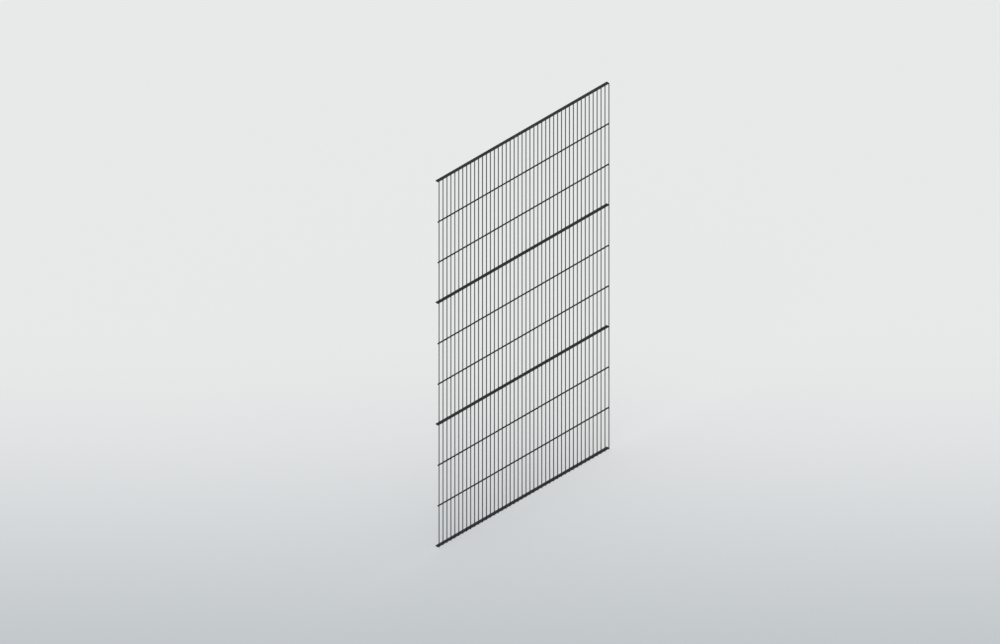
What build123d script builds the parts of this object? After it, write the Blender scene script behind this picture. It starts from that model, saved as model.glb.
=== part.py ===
from build123d import *
import os

# Machine guard panel: one frameless mesh of upright wires, welded to flat bars and round cross wires.
# The upright wires stand at the front, towards -Y. The bars and the cross wires lie behind them.
# X runs along the panel, Y goes through it and Z is up, all in millimetres.
# The origin is the middle of the bottom bar's underside.

# Upright wires
wire_count = 44
wire_pitch = 22.5
wire_diameter = 4.0
wires_per_node = 2

# Levels: the panel is a stack of fields, and each field has cross wires between two flat bars
field_count = 3
cross_wires_per_field = 2
level_pitch = 200.0

# Flat bars, which lie with their wide side level
bar_depth = 15.0
bar_thickness = 3.0
bar_overhang = 4.25
bar_corner_radius = 1.0

# Round cross wires
cross_wire_diameter = 6.0
cross_wire_overhang = 2.0

# How far the upright wires are pressed into the bars' front edges where they are welded
weld_set_down = 0.2

# Worked out from the sizes above
span = (wire_count - 1) * wire_pitch
levels_per_field = cross_wires_per_field + 1
panel_height = field_count * levels_per_field * level_pitch + bar_thickness
bar_length = span + 2 * bar_overhang
cross_wire_length = span + 2 * cross_wire_overhang

# Planes of the wires' centre lines, from the middle of the bars' depth
wire_plane = -bar_depth / 2 + weld_set_down - wire_diameter / 2
cross_wire_plane = wire_plane + wire_diameter / 2 + cross_wire_diameter / 2


def wire_place(number):
    """Foot of an upright wire's centre line, counted from 0 at the left."""
    return Pos(number * wire_pitch - span / 2, wire_plane, 0)


def upright_wires(numbers):
    """Upright wires, from the bottom bar's underside to the top bar's upper side."""
    wire = extrude(Circle(wire_diameter / 2), amount=panel_height)
    return Compound(children=[wire_place(number) * wire for number in numbers])


def flat_bar():
    """A flat bar that stands on the origin, with a seat in its front edge for each upright wire."""
    plan = RectangleRounded(bar_length, bar_depth, bar_corner_radius)
    seats = [wire_place(number) * Circle(wire_diameter / 2) for number in range(wire_count)]
    return extrude(plan - seats, amount=bar_thickness)


def cross_wire():
    """A round wire level with the middle of a bar at the origin, which touches each upright wire."""
    section = Plane.YZ * Circle(cross_wire_diameter / 2)
    wire = extrude(section, amount=cross_wire_length / 2, both=True)
    return Pos(0, cross_wire_plane, bar_thickness / 2) * wire


def bar_name(number):
    """Name of a flat bar, counted from 0 at the bottom."""
    if number == 0:
        return "bottom_flat_bar"
    if number == field_count:
        return "top_flat_bar"
    return f"middle_flat_bar_{number}"


def level(number):
    """Height of a bar or cross wire above the bottom bar, counted from 0 there."""
    return Pos(0, 0, number * level_pitch)


os.makedirs("parts", exist_ok=True)

for first in range(0, wire_count, wires_per_node):
    last = min(first + wires_per_node, wire_count) - 1
    wires = upright_wires(range(first, last + 1))
    export_step(wires, f"parts/vertical_wires_{first + 1:02d}_{last + 1:02d}.step")

for number in range(field_count + 1):
    bar = level(number * levels_per_field) * flat_bar()
    export_step(bar, f"parts/{bar_name(number)}.step")

for number in range(field_count * cross_wires_per_field):
    fields_below = number // cross_wires_per_field
    wire = level(number + fields_below + 1) * cross_wire()
    export_step(wire, f"parts/cross_wire_{number + 1}.step")

print("panel", bar_length, "by", panel_height, "mm")
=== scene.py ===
import math
import random

import bmesh
import bpy
from bpy.props import FloatProperty, FloatVectorProperty, IntProperty, PointerProperty
from bpy.types import Operator, Panel, PropertyGroup
from mathutils import Matrix, Vector


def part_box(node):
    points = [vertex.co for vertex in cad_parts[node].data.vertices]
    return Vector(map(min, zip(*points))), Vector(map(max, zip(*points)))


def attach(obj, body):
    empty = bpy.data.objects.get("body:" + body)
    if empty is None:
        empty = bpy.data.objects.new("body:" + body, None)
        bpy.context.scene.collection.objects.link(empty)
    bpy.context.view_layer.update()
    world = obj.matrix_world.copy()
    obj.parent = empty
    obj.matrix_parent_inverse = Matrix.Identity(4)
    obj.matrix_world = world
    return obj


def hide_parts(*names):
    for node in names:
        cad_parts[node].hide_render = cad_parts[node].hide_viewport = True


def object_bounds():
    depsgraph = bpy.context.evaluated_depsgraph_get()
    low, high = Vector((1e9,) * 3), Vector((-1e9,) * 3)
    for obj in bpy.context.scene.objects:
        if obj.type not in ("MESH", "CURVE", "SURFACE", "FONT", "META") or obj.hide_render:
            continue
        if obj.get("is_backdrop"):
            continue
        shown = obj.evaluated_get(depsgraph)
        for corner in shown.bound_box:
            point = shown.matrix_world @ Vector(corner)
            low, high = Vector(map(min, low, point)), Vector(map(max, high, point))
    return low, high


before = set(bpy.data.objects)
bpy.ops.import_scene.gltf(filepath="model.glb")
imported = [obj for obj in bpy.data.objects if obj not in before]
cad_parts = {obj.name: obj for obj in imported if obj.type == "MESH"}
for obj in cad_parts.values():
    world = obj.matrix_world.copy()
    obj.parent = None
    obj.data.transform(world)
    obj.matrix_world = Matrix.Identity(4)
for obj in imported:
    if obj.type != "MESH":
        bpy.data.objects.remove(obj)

bl_info = {
    "name": "Machine guard panel",
    "version": (1, 0, 0),
    "blender": (4, 5, 0),
    "location": "3D View > Sidebar > Guard Panel",
    "description": "Coated wires, flat bars and welds of a mesh guard panel, and the studio it stands in",
    "category": "Add Mesh",
}

BODY = "root"

# Decimals of a metre that places are compared to
DECIMALS = 4


def nodes_named(part_of_name):
    """The frame's nodes with these words in their names, from the lowest up and from left to right."""

    def place(name):
        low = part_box(name)[0]
        return round(low.z, DECIMALS), round(low.x, DECIMALS)

    return sorted([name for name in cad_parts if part_of_name in name], key=place)


def middle(node):
    """Middle of a node's box."""
    low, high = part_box(node)
    return (low + high) / 2


def extent(node):
    """Size of a node's box along X, Y and Z."""
    low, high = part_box(node)
    return high - low


# The frame's own sizes and places, which the pieces are made to
WIRE_NODES = nodes_named("vertical_wires")
BAR_NODES = nodes_named("flat_bar")
CROSS_WIRE_NODES = nodes_named("cross_wire")
WIRE_DIAMETER = extent(WIRE_NODES[0]).y
CROSS_WIRE_DIAMETER = extent(CROSS_WIRE_NODES[0]).y
WIRE_LENGTH = extent(WIRE_NODES[0]).z
WIRE_PLANE = middle(WIRE_NODES[0]).y


def wire_numbers(node):
    """First and last number of the wires in a node, which its name ends with."""
    first, last = node.split("_")[-2:]
    return int(first), int(last)


def wire_places():
    """Place along X of each upright wire, from left to right."""
    places = []
    for node in WIRE_NODES:
        low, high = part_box(node)
        first, last = wire_numbers(node)
        left = low.x + WIRE_DIAMETER / 2
        right = high.x - WIRE_DIAMETER / 2
        for number in range(first, last + 1):
            share = (number - first) / max(last - first, 1)
            places.append(left + (right - left) * share)
    return places


WIRE_PLACES = wire_places()
WELD_HEIGHTS = sorted(middle(node).z for node in BAR_NODES + CROSS_WIRE_NODES)

# Faces across a rounded edge, and the profile of a round one
ROUNDING_STEPS = 3
ROUND_PROFILE = 0.5

# A bar's face that points along an axis more nearly than this is flat, and the others are its rounded edges
SQUARE_ON = 0.999

# Where the coat's pattern starts on each kind of piece, so that no two kinds show the same stretch of it
PATTERN_STARTS = {
    "upright_wire_coat": (0.0, 0.0, 0.0),
    "flat_bar_coat": (0.31, 0.17, 0.05),
    "cross_wire_coat": (0.07, 0.43, 0.29),
    "weld_coat": (0.19, 0.02, 0.37),
}

# The floor's surface is wholly matt
FLOOR_ROUGHNESS = 0.9
FLOOR_GLOSS = 0.0

# How far off the camera stands, in diagonals of the panel's box
CAMERA_DISTANCE = 3


class GuardPanelWires(PropertyGroup):
    """Form of the round wires' surface and ends."""

    sides: IntProperty(
        name="Sides", description="Faces round an upright wire", default=24, min=8, max=48)
    cross_wire_sides: IntProperty(
        name="Cross wire sides", description="Faces round a cross wire", default=32, min=8, max=64)
    end_rounding: FloatProperty(
        name="End rounding", description="How far the coat rounds a wire's sheared rim",
        default=0.0004, unit="LENGTH", subtype="DISTANCE")
    mark_depth: FloatProperty(
        name="Mark depth", description="How deep the welding electrode flattens a wire",
        default=0.0002, unit="LENGTH", subtype="DISTANCE")
    mark_length: FloatProperty(
        name="Mark length", description="Length of the flat that the electrode leaves on a wire",
        default=0.007, unit="LENGTH", subtype="DISTANCE")
    mark_run_out: FloatProperty(
        name="Mark run-out", description="Length at each end of a mark where it runs out into the round wire",
        default=0.0014, unit="LENGTH", subtype="DISTANCE")


class GuardPanelBars(PropertyGroup):
    """Form of the flat bars' edges."""

    corner_rounding: FloatProperty(
        name="Corner rounding", description="Radius of a bar's corners, seen from above",
        default=0.001, unit="LENGTH", subtype="DISTANCE")
    edge_rounding: FloatProperty(
        name="Edge rounding", description="Radius of the strip's rolled edges under the coat",
        default=0.0004, unit="LENGTH", subtype="DISTANCE")


class GuardPanelWelds(PropertyGroup):
    """Form of the rim of metal that each weld squeezes out."""

    reach: FloatProperty(
        name="Reach", description="How far a weld's rim spreads past the upright wire's side",
        default=0.0007, unit="LENGTH", subtype="DISTANCE")
    depth: FloatProperty(
        name="Depth", description="How far a weld's rim stands out before the bar or cross wire",
        default=0.0009, unit="LENGTH", subtype="DISTANCE")
    cross_wire_share: FloatProperty(
        name="Cross wire share", description="Height of a rim on a cross wire, as a share of its diameter",
        default=0.6, subtype="FACTOR", min=0.1, max=1.0)
    unevenness: FloatProperty(
        name="Unevenness", description="How much one weld's rim differs from the next",
        default=0.14, subtype="FACTOR", min=0.0, max=0.5)
    seed: IntProperty(
        name="Seed", description="Start of the random differences between the rims", default=7, min=0)
    sides: IntProperty(
        name="Sides", description="Faces round a weld's rim", default=12, min=6, max=16)
    rings: IntProperty(
        name="Rings", description="Rings of faces from the front of a weld's rim to its back",
        default=5, min=3, max=8)


class GuardPanelCoat(PropertyGroup):
    """The powder coat on every piece."""

    dark_colour: FloatVectorProperty(
        name="Dark grain", description="Colour of the darkest grains in the dark grey coat",
        default=(0.0135, 0.0135, 0.0139), subtype="COLOR", size=3, min=0.0, max=1.0)
    pale_colour: FloatVectorProperty(
        name="Pale grain", description="Colour of the palest grains in the dark grey coat",
        default=(0.0330, 0.0330, 0.0335), subtype="COLOR", size=3, min=0.0, max=1.0)
    gloss: FloatProperty(
        name="Gloss", description="How strongly the coat mirrors the light",
        default=0.13, subtype="FACTOR", min=0.0, max=1.0)
    smooth_roughness: FloatProperty(
        name="Smooth roughness", description="Roughness where the coat has flowed smoothest",
        default=0.46, subtype="FACTOR", min=0.0, max=1.0)
    coarse_roughness: FloatProperty(
        name="Coarse roughness", description="Roughness where the coat has flowed least",
        default=0.60, subtype="FACTOR", min=0.0, max=1.0)
    cloud: FloatProperty(
        name="Cloud", description="Width of the slow changes in the coat's tone and gloss",
        default=0.06, unit="LENGTH", subtype="DISTANCE")
    grain: FloatProperty(
        name="Grain", description="Width of one grain of the powder",
        default=0.0003, unit="LENGTH", subtype="DISTANCE")
    grain_height: FloatProperty(
        name="Grain height", description="Height that the grains stand out",
        default=0.000024, unit="LENGTH", subtype="DISTANCE")
    ripple: FloatProperty(
        name="Ripple", description="Width of one ripple of the coat's orange-peel surface",
        default=0.0013, unit="LENGTH", subtype="DISTANCE")
    ripple_height: FloatProperty(
        name="Ripple height", description="Height of the coat's ripples",
        default=0.00012, unit="LENGTH", subtype="DISTANCE")


class GuardPanelStage(PropertyGroup):
    """The studio: floor, light and camera."""

    azimuth: FloatProperty(
        name="Azimuth", description="Direction of view round the panel, 0 along +Y",
        default=math.radians(-45.0), subtype="ANGLE", unit="ROTATION")
    elevation: FloatProperty(
        name="Elevation", description="Height of the view above level: an isometric view",
        default=math.atan(1 / math.sqrt(2)), subtype="ANGLE", unit="ROTATION")
    picture_width: FloatProperty(
        name="Picture width", description="Width of what the parallel view takes in",
        default=4.027, unit="LENGTH", subtype="DISTANCE")
    picture_middle: FloatVectorProperty(
        name="Picture middle", description="Point of the panel's plane in the middle of the picture",
        default=(-0.1279, -0.0005, 0.9284), subtype="TRANSLATION", unit="LENGTH", size=3)
    floor_colour: FloatVectorProperty(
        name="Floor colour", description="Pale grey of the floor behind the panel",
        default=(0.814, 0.828, 0.828), subtype="COLOR", size=3, min=0.0, max=1.0)
    # Painted shade: the floor's darker, cooler grey towards the viewer
    near_shade_colour: FloatVectorProperty(
        name="Near colour", description="Cooler grey of the floor towards the viewer",
        default=(0.508, 0.543, 0.571), subtype="COLOR", size=3, min=0.0, max=1.0)
    near_distance: FloatProperty(
        name="Near distance", description="How far before the panel the floor reaches its near colour",
        default=1.7, unit="LENGTH", subtype="DISTANCE")
    far_distance: FloatProperty(
        name="Far distance", description="How far behind the panel the floor reaches its palest grey",
        default=1.2, unit="LENGTH", subtype="DISTANCE")
    floor_size: FloatProperty(
        name="Floor size", description="From the middle of the floor to its sides",
        default=20.0, unit="LENGTH", subtype="DISTANCE")
    floor_gap: FloatProperty(
        name="Floor gap", description="Clearance between the floor and the bottom bar",
        default=0.0005, unit="LENGTH", subtype="DISTANCE")
    plain_share: FloatProperty(
        name="Plain share", description="Share of the floor that shows its plain colour, without shadow",
        default=0.5, subtype="FACTOR", min=0.0, max=1.0)
    sky_strength: FloatProperty(
        name="Sky strength", description="Even light from all round", default=0.72, min=0.0, max=2.0)
    key_strength: FloatProperty(
        name="Key strength", description="Strength of the large soft key light",
        default=0.85, min=0.0, max=10.0)
    key_spread: FloatProperty(
        name="Key spread", description="How wide the key light is, seen from the panel",
        default=math.radians(80.0), subtype="ANGLE", unit="ROTATION")
    key_direction: FloatVectorProperty(
        name="Key direction", description="Where the key light shines: down, and a little across the panel",
        default=(0.25, 0.15, -1.3), subtype="DIRECTION", size=3)


def to_mesh(bm, name):
    """Turns a finished bmesh into a mesh."""
    mesh = bpy.data.meshes.new(name)
    bm.to_mesh(mesh)
    bm.free()
    return mesh


def add_object(name, data):
    """Puts a new object into the scene."""
    added = bpy.data.objects.new(name, data)
    bpy.context.scene.collection.objects.link(added)
    return added


def new_piece(name, bm, material, replaced=()):
    """Makes a finished object from a bmesh: it rides on the panel and stands for the nodes it replaces."""
    mesh = to_mesh(bm, name)
    mesh.materials.append(material)
    piece = add_object(name, mesh)
    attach(piece, BODY)
    if replaced:
        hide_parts(*replaced)


def level_edges(bm):
    """The edges that lie level."""
    return [edge for edge in bm.edges if len({round(vert.co.z, DECIMALS) for vert in edge.verts}) == 1]


def round_edges(bm, edges, radius):
    """Rounds these edges with an even arc."""
    bmesh.ops.bevel(
        bm, geom=edges, offset=radius, segments=ROUNDING_STEPS, profile=ROUND_PROFILE, affect="EDGES",
        material=-1)


def round_wire(diameter, length, sides, end_rounding):
    """An upright round wire that stands on the origin, with its sheared rims rounded by the coat."""
    bm = bmesh.new()
    bmesh.ops.create_cone(
        bm, cap_ends=True, segments=sides, radius1=diameter / 2, radius2=diameter / 2, depth=length)
    bmesh.ops.translate(bm, verts=bm.verts, vec=(0, 0, length / 2))
    round_edges(bm, level_edges(bm), end_rounding)
    # Only the two flat ends have more than four corners
    for face in bm.faces:
        face.smooth = len(face.verts) == 4
    return bm


def press_marks(bm, diameter, heights, outward, wires):
    """Flattens a wire a little at each height, on the side that outward points to, as the electrode does."""
    half_mark = wires.mark_length / 2
    half_flat = half_mark - wires.mark_run_out
    for height in heights:
        for ring in (-half_mark, -half_flat, half_flat, half_mark):
            bmesh.ops.bisect_plane(
                bm, geom=bm.verts[:] + bm.edges[:] + bm.faces[:], plane_co=(0, 0, height + ring),
                plane_no=(0, 0, 1))
    pressed = diameter / 2 - wires.mark_depth
    for vert in bm.verts:
        from_mark = min(abs(height - vert.co.z) for height in heights)
        past = vert.co.dot(outward) - pressed
        if from_mark < (half_flat + half_mark) / 2 and past > 0:
            vert.co -= outward * past


def rolled_strip(size, bars):
    """A flat bar about the origin, with rounded corners and rolled edges."""
    bm = bmesh.new()
    bmesh.ops.create_cube(bm, size=1.0)
    bmesh.ops.scale(bm, verts=bm.verts, vec=size)
    level = level_edges(bm)
    round_edges(bm, [edge for edge in bm.edges if edge not in level], bars.corner_rounding)
    round_edges(bm, level_edges(bm), bars.edge_rounding)
    for face in bm.faces:
        face.smooth = max(abs(part) for part in face.normal) < SQUARE_ON
    return bm


def add_rim(bm, spot, half_sizes, welds):
    """Adds a weld's rim: a ball drawn out to these half sizes, with its poles through the joint."""
    poles_through_joint = Matrix.Rotation(math.pi / 2, 4, "X")
    shape = Matrix.Translation(spot) @ Matrix.Diagonal((*half_sizes, 1.0)) @ poles_through_joint
    bmesh.ops.create_uvsphere(bm, u_segments=welds.sides, v_segments=welds.rings, radius=1.0, matrix=shape)


def add_copy(bm, mesh, place):
    """Adds a copy of a mesh to a bmesh, moved to its place."""
    before = len(bm.verts)
    bm.from_mesh(mesh)
    bm.verts.ensure_lookup_table()
    bmesh.ops.translate(bm, verts=bm.verts[before:], vec=place)


def noise(nodes, links, place, size, name):
    """A noise texture whose grains are about this size, in metres."""
    texture = nodes.new("ShaderNodeTexNoise")
    texture.name = name
    texture.inputs["Scale"].default_value = 1 / size
    links.new(place, texture.inputs["Vector"])
    return texture.outputs["Fac"]


def relief(nodes, links, height, distance, under=None):
    """Bumps a surface by this height, on top of an earlier relief where there is one."""
    bump = nodes.new("ShaderNodeBump")
    bump.inputs["Distance"].default_value = distance
    links.new(height, bump.inputs["Height"])
    if under:
        links.new(under, bump.inputs["Normal"])
    return bump.outputs["Normal"]


def grain_colour(nodes, links, coat, grain, cloud):
    """Dark to pale grey, by the fine grain and the slow cloud together."""
    # Most of the grain's and the cloud's product lies in this range
    darkest, palest = 0.12, 0.42
    blend = nodes.new("ShaderNodeMath")
    blend.operation = "MULTIPLY"
    links.new(grain, blend.inputs[0])
    links.new(cloud, blend.inputs[1])
    colours = nodes.new("ShaderNodeValToRGB")
    dark, pale = colours.color_ramp.elements
    dark.position = darkest
    dark.color = (*coat.dark_colour, 1.0)
    pale.position = palest
    pale.color = (*coat.pale_colour, 1.0)
    links.new(blend.outputs["Value"], colours.inputs["Fac"])
    return colours.outputs["Color"]


def flow_roughness(nodes, links, coat, cloud):
    """Smoother where the coat has flowed well and rougher where it hasn't, which the cloud gives."""
    # Most of the cloud lies in this range
    thinnest, thickest = 0.3, 0.7
    flow = nodes.new("ShaderNodeMapRange")
    flow.inputs["From Min"].default_value = thinnest
    flow.inputs["From Max"].default_value = thickest
    flow.inputs["To Min"].default_value = coat.smooth_roughness
    flow.inputs["To Max"].default_value = coat.coarse_roughness
    links.new(cloud, flow.inputs["Value"])
    return flow.outputs["Result"]


def powder_coat(name):
    """Dark grey powder coat: fine grain in its colour, slow changes of gloss and an orange-peel surface."""
    coat = bpy.context.scene.guard_panel_coat
    material = bpy.data.materials.new(name)
    material.use_nodes = True
    material.diffuse_color = (*coat.pale_colour, 1.0)
    nodes, links = material.node_tree.nodes, material.node_tree.links
    shader = nodes["Principled BSDF"]
    shader.inputs["Specular IOR Level"].default_value = coat.gloss

    coordinates = nodes.new("ShaderNodeTexCoord")
    mapping = nodes.new("ShaderNodeMapping")
    mapping.inputs["Location"].default_value = PATTERN_STARTS[name]
    links.new(coordinates.outputs["Object"], mapping.inputs["Vector"])
    place = mapping.outputs["Vector"]
    grain = noise(nodes, links, place, coat.grain, "Coat grain")
    cloud = noise(nodes, links, place, coat.cloud, "Coat cloud")
    ripple = noise(nodes, links, place, coat.ripple, "Coat ripple")

    links.new(grain_colour(nodes, links, coat, grain, cloud), shader.inputs["Base Color"])
    links.new(flow_roughness(nodes, links, coat, cloud), shader.inputs["Roughness"])
    ripples = relief(nodes, links, ripple, coat.ripple_height)
    surface = relief(nodes, links, grain, coat.grain_height, under=ripples)
    links.new(surface, shader.inputs["Normal"])
    return material


class GUARD_PANEL_OT_upright_wires(Operator):
    """Makes the upright wires, with rounded ends and the electrode's marks at every weld"""

    bl_idname = "guard_panel.upright_wires"
    bl_label = "Upright wires"
    bl_options = {"REGISTER", "UNDO"}

    def execute(self, context):
        wires = context.scene.guard_panel_wires
        front = Vector((0, -1, 0))
        bm = round_wire(WIRE_DIAMETER, WIRE_LENGTH, wires.sides, wires.end_rounding)
        press_marks(bm, WIRE_DIAMETER, WELD_HEIGHTS, front, wires)
        template = to_mesh(bm, "upright_wire_template")
        coat = powder_coat("upright_wire_coat")
        for node in WIRE_NODES:
            first, last = wire_numbers(node)
            pair = bmesh.new()
            for number in range(first, last + 1):
                add_copy(pair, template, (WIRE_PLACES[number - 1], WIRE_PLANE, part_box(node)[0].z))
            new_piece(f"coated_wires_{first:02d}_{last:02d}", pair, coat, [node])
        bpy.data.meshes.remove(template)
        return {"FINISHED"}


class GUARD_PANEL_OT_flat_bars(Operator):
    """Makes the flat bars, with rounded corners and rolled edges"""

    bl_idname = "guard_panel.flat_bars"
    bl_label = "Flat bars"
    bl_options = {"REGISTER", "UNDO"}

    def execute(self, context):
        bars = context.scene.guard_panel_bars
        coat = powder_coat("flat_bar_coat")
        for node in BAR_NODES:
            bar = rolled_strip(extent(node), bars)
            bmesh.ops.translate(bar, verts=bar.verts, vec=middle(node))
            new_piece(f"coated_{node}", bar, coat, [node])
        return {"FINISHED"}


class GUARD_PANEL_OT_cross_wires(Operator):
    """Makes the round cross wires, with rounded ends and the electrode's marks behind every weld"""

    bl_idname = "guard_panel.cross_wires"
    bl_label = "Cross wires"
    bl_options = {"REGISTER", "UNDO"}

    def execute(self, context):
        wires = context.scene.guard_panel_wires
        length = extent(CROSS_WIRE_NODES[0]).x
        back = Vector((0, 1, 0))
        along = [place + length / 2 for place in WIRE_PLACES]
        bm = round_wire(CROSS_WIRE_DIAMETER, length, wires.cross_wire_sides, wires.end_rounding)
        press_marks(bm, CROSS_WIRE_DIAMETER, along, back, wires)
        bmesh.ops.rotate(bm, verts=bm.verts, cent=(0, 0, 0), matrix=Matrix.Rotation(math.pi / 2, 3, "Y"))
        template = to_mesh(bm, "cross_wire_template")
        coat = powder_coat("cross_wire_coat")
        for node in CROSS_WIRE_NODES:
            wire = bmesh.new()
            place = middle(node)
            place.x -= length / 2
            add_copy(wire, template, place)
            new_piece(f"coated_{node}", wire, coat, [node])
        bpy.data.meshes.remove(template)
        return {"FINISHED"}


class GUARD_PANEL_OT_welds(Operator):
    """Makes the low rim of metal at every crossing"""

    bl_idname = "guard_panel.welds"
    bl_label = "Welds"
    bl_options = {"REGISTER", "UNDO"}

    def execute(self, context):
        welds = context.scene.guard_panel_welds
        chance = random.Random(welds.seed)
        coat = powder_coat("weld_coat")
        for node in BAR_NODES + CROSS_WIRE_NODES:
            slot, share = ("flat_bar", 1.0) if node in BAR_NODES else ("cross_wire", welds.cross_wire_share)
            largest = (WIRE_DIAMETER / 2 + welds.reach, welds.depth, share * extent(node).z / 2)
            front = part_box(node)[0].y
            rims = bmesh.new()
            for place in WIRE_PLACES:
                half_sizes = [half * (1 + chance.uniform(-1, 0) * welds.unevenness) for half in largest]
                add_rim(rims, (place, front, middle(node).z), half_sizes, welds)
            for face in rims.faces:
                face.smooth = True
            new_piece(f"welds_{node}", rims, coat)
        return {"FINISHED"}


def seen_rays(nodes, links):
    """1 for rays that show something, straight, mirrored or through glass, and 0 for those that light it."""
    ray = nodes.new("ShaderNodeLightPath")
    seen = ray.outputs["Is Camera Ray"]
    for kind in ("Is Glossy Ray", "Is Transmission Ray"):
        either = nodes.new("ShaderNodeMath")
        either.operation = "MAXIMUM"
        links.new(seen, either.inputs[0])
        links.new(ray.outputs[kind], either.inputs[1])
        seen = either.outputs["Value"]
    return seen


def floor_material(stage):
    """Pale matt floor with painted shade that makes it a little darker and cooler towards the viewer, and a
    faint shadow of the panel.
    """
    material = bpy.data.materials.new("studio_floor")
    material.use_nodes = True
    nodes, links = material.node_tree.nodes, material.node_tree.links
    shader = nodes["Principled BSDF"]
    shader.inputs["Roughness"].default_value = FLOOR_ROUGHNESS
    shader.inputs["Specular IOR Level"].default_value = FLOOR_GLOSS

    # X across the picture and Y away from the viewer, in metres
    coordinates = nodes.new("ShaderNodeTexCoord")
    turned = nodes.new("ShaderNodeMapping")
    turned.inputs["Rotation"].default_value = (0.0, 0.0, -stage.azimuth)
    links.new(coordinates.outputs["Object"], turned.inputs["Vector"])
    parts = nodes.new("ShaderNodeSeparateXYZ")
    links.new(turned.outputs["Vector"], parts.inputs["Vector"])

    # Painted shade: the floor's grey darkens and cools towards the viewer
    tone = nodes.new("ShaderNodeMix")
    tone.data_type = "RGBA"
    near, far = [socket for socket in tone.inputs if socket.type == "RGBA"]
    near.default_value = (*stage.near_shade_colour, 1.0)
    far.default_value = (*stage.floor_colour, 1.0)
    away = nodes.new("ShaderNodeMapRange")
    away.interpolation_type = "SMOOTHSTEP"
    away.inputs["From Min"].default_value = -stage.near_distance
    away.inputs["From Max"].default_value = stage.far_distance
    links.new(parts.outputs["Y"], away.inputs["Value"])
    links.new(away.outputs["Result"], tone.inputs["Factor"])
    grey = next(socket for socket in tone.outputs if socket.type == "RGBA")
    links.new(grey, shader.inputs["Base Color"])

    # Part of what the camera sees is the plain grey, which keeps the panel's shadow faint
    plain = nodes.new("ShaderNodeEmission")
    links.new(grey, plain.inputs["Color"])
    share = nodes.new("ShaderNodeMath")
    share.operation = "MULTIPLY"
    share.inputs[1].default_value = stage.plain_share
    links.new(seen_rays(nodes, links), share.inputs[0])
    shown = nodes.new("ShaderNodeMixShader")
    links.new(share.outputs["Value"], shown.inputs["Fac"])
    links.new(shader.outputs["BSDF"], shown.inputs[1])
    links.new(plain.outputs["Emission"], shown.inputs[2])
    links.new(shown.outputs["Shader"], nodes["Material Output"].inputs["Surface"])
    return material


def studio_sky(stage):
    """Even white light from all round, seen and mirrored as the pale grey of the floor."""
    world = bpy.data.worlds.new("studio_sky")
    world.use_nodes = True
    nodes, links = world.node_tree.nodes, world.node_tree.links
    light = nodes["Background"]
    light.inputs["Color"].default_value = (1.0, 1.0, 1.0, 1.0)
    light.inputs["Strength"].default_value = stage.sky_strength
    seen = nodes.new("ShaderNodeBackground")
    seen.inputs["Color"].default_value = (*stage.floor_colour, 1.0)
    seen.inputs["Strength"].default_value = 1.0
    choice = nodes.new("ShaderNodeMixShader")
    links.new(seen_rays(nodes, links), choice.inputs["Fac"])
    links.new(light.outputs["Background"], choice.inputs[1])
    links.new(seen.outputs["Background"], choice.inputs[2])
    links.new(choice.outputs["Shader"], nodes["World Output"].inputs["Surface"])
    return world


def studio_floor(stage, panel_foot):
    """The level floor, just clear of the panel's foot."""
    bm = bmesh.new()
    bmesh.ops.create_grid(bm, x_segments=1, y_segments=1, size=stage.floor_size)
    bmesh.ops.translate(bm, verts=bm.verts, vec=(0, 0, panel_foot - stage.floor_gap))
    mesh = to_mesh(bm, "studio_floor")
    mesh.materials.append(floor_material(stage))
    return add_object("studio_floor", mesh)


def studio_key(stage):
    """One large soft light from above."""
    lamp = bpy.data.lights.new("studio_key", "SUN")
    lamp.energy = stage.key_strength
    lamp.angle = stage.key_spread
    key = add_object("studio_key", lamp)
    key.rotation_mode = "QUATERNION"
    key.rotation_quaternion = Vector(stage.key_direction).to_track_quat("-Z", "Y")


def studio_camera(stage, distance):
    """The parallel view of the panel from its front left and above."""
    lens = bpy.data.cameras.new("studio_camera")
    lens.type = "ORTHO"
    lens.ortho_scale = stage.picture_width
    lens.clip_end = distance + 2 * stage.floor_size
    level = math.cos(stage.elevation)
    back = Vector((math.sin(stage.azimuth) * level, -math.cos(stage.azimuth) * level,
                   math.sin(stage.elevation)))
    camera = add_object("studio_camera", lens)
    camera.location = Vector(stage.picture_middle) + back * distance
    camera.rotation_mode = "QUATERNION"
    camera.rotation_quaternion = (-back).to_track_quat("-Z", "Y")
    return camera


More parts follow.
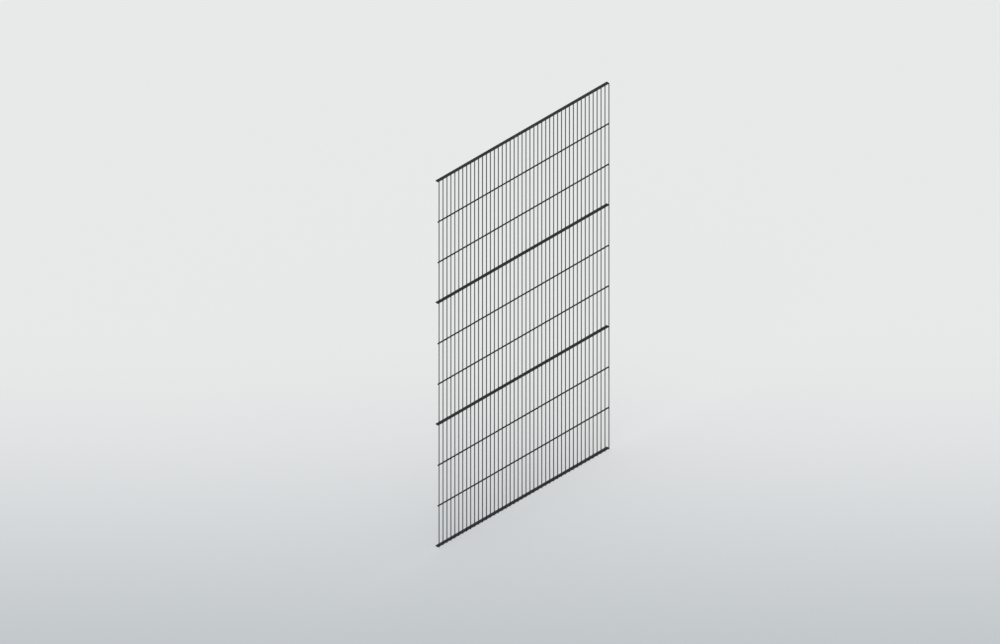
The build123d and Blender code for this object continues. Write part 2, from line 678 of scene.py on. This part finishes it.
class GUARD_PANEL_OT_stage(Operator):
    """Makes the pale floor, the soft light and the camera"""

    bl_idname = "guard_panel.stage"
    bl_label = "Stage"
    bl_options = {"REGISTER", "UNDO"}

    def execute(self, context):
        stage = context.scene.guard_panel_stage
        low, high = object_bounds()
        floor = studio_floor(stage, low.z)
        floor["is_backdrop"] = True
        context.scene.world = studio_sky(stage)
        studio_key(stage)
        context.scene.camera = studio_camera(stage, CAMERA_DISTANCE * (high - low).length)
        context.scene.view_settings.view_transform = "Standard"
        return {"FINISHED"}


class GUARD_PANEL_PT_sidebar(Panel):
    """Lists the panel's pieces and the stage"""

    bl_idname = "GUARD_PANEL_PT_sidebar"
    bl_label = "Guard Panel"
    bl_space_type = "VIEW_3D"
    bl_region_type = "UI"
    bl_category = "Guard Panel"

    def draw(self, context):
        layout = self.layout
        for operator in OPERATORS:
            layout.operator(operator.bl_idname)
        for name, group in PROPERTY_GROUPS.items():
            box = layout.box()
            for size in group.__annotations__:
                box.prop(getattr(context.scene, name), size)


PROPERTY_GROUPS = {
    "guard_panel_wires": GuardPanelWires,
    "guard_panel_bars": GuardPanelBars,
    "guard_panel_welds": GuardPanelWelds,
    "guard_panel_coat": GuardPanelCoat,
    "guard_panel_stage": GuardPanelStage,
}
OPERATORS = (
    GUARD_PANEL_OT_upright_wires,
    GUARD_PANEL_OT_flat_bars,
    GUARD_PANEL_OT_cross_wires,
    GUARD_PANEL_OT_welds,
    GUARD_PANEL_OT_stage,
)
CLASSES = (*PROPERTY_GROUPS.values(), *OPERATORS, GUARD_PANEL_PT_sidebar)


def register():
    """Adds the sizes, the operators and the sidebar's panel to Blender."""
    for cls in CLASSES:
        bpy.utils.register_class(cls)
    for name, group in PROPERTY_GROUPS.items():
        setattr(bpy.types.Scene, name, PointerProperty(type=group))


def unregister():
    """Takes them out again."""
    for name in PROPERTY_GROUPS:
        delattr(bpy.types.Scene, name)
    for cls in reversed(CLASSES):
        bpy.utils.unregister_class(cls)


def main():
    """Makes the whole panel and its stage."""
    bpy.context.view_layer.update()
    register()
    bpy.ops.guard_panel.upright_wires()
    bpy.ops.guard_panel.flat_bars()
    bpy.ops.guard_panel.cross_wires()
    bpy.ops.guard_panel.welds()
    bpy.ops.guard_panel.stage()


if __name__ == "__main__":
    main()
